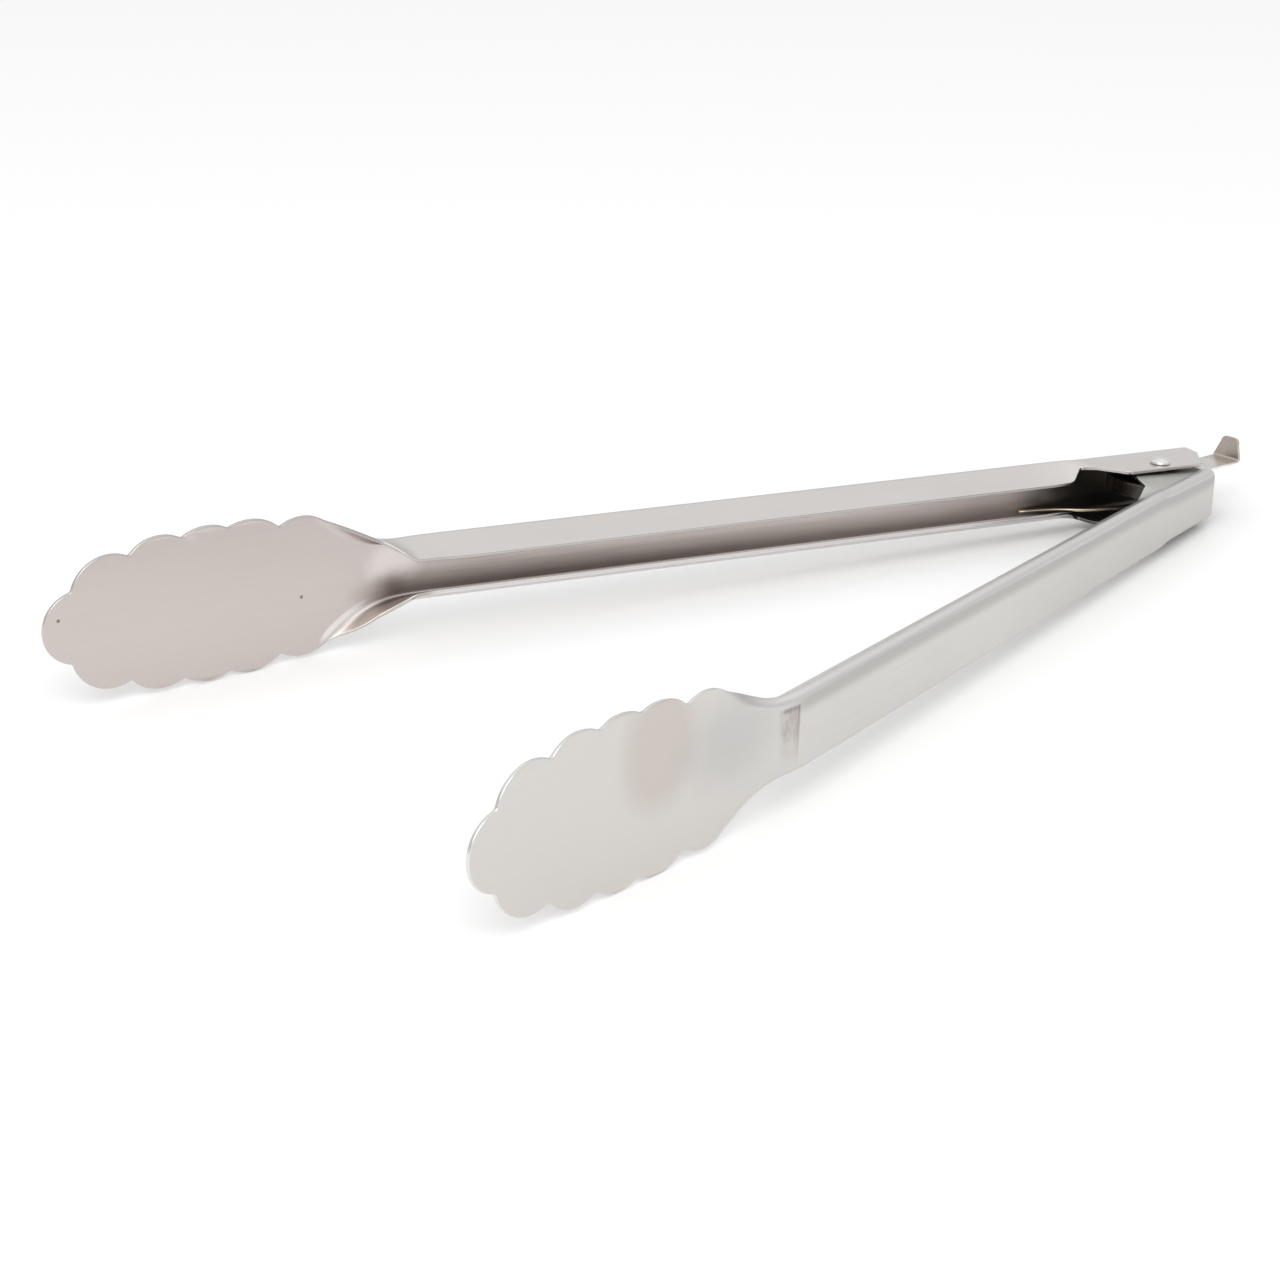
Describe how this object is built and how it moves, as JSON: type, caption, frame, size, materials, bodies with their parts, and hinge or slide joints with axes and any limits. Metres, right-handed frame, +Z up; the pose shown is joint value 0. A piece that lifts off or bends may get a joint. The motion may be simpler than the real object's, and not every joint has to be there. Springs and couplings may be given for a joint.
{
  "type": "spring loaded kitchen tongs",
  "caption": "Scalloped stainless kitchen tongs: channel arms riveted at the end, held open by a torsion spring and held shut by a sliding lock with a thumb tab.",
  "frame": {"origin": "middle of the open tongs' bounding box, at the level of the blades' lowest edge", "axes": "+X from the blades to the hinge along the centre line, +Y towards the outer arm, +Z up along the rivet"},
  "size_m": [0.3098, 0.1466, 0.0361],
  "materials": {
    "arm_steel": "fine brushed stainless",
    "rivet_steel": "bright formed rivet",
    "spring_steel": "straw tempered spring wire",
    "slide_steel": "satin stainless"
  },
  "bodies": {
    "outer_arm": {"outer_arm": "arm_steel"},
    "inner_arm": {"inner_arm": "arm_steel", "torsion_spring": "spring_steel"},
    "rivet": {"hinge_rivet": "rivet_steel"},
    "lock_slide": {"lock_slide": "slide_steel"}
  },
  "joints": [
    {"name": "arm_hinge", "type": "hinge", "parent": "outer_arm", "child": "inner_arm", "pos_m": [0.12529, 0, 0.01805], "axis": [0, 0, -1], "range_deg": [0, 28.8], "stiffness_Nm_per_rad": 0.9, "springref_deg": -20.05, "deforming": ["torsion_spring"]},
    {"name": "rivet_turn", "type": "hinge", "parent": "outer_arm", "child": "rivet", "pos_m": [0.12529, 0, 0.01805], "axis": [0, 0, -1], "range_deg": [0, 14.4]},
    {"name": "lock_pull", "type": "slide", "parent": "rivet", "child": "lock_slide", "axis": [1, 0, 0], "range_m": [-0.0045, 0.0018]}
  ],
  "couplings": [
    {"joint": "rivet_turn", "follows": "arm_hinge", "ratio": 0.5}
  ]
}
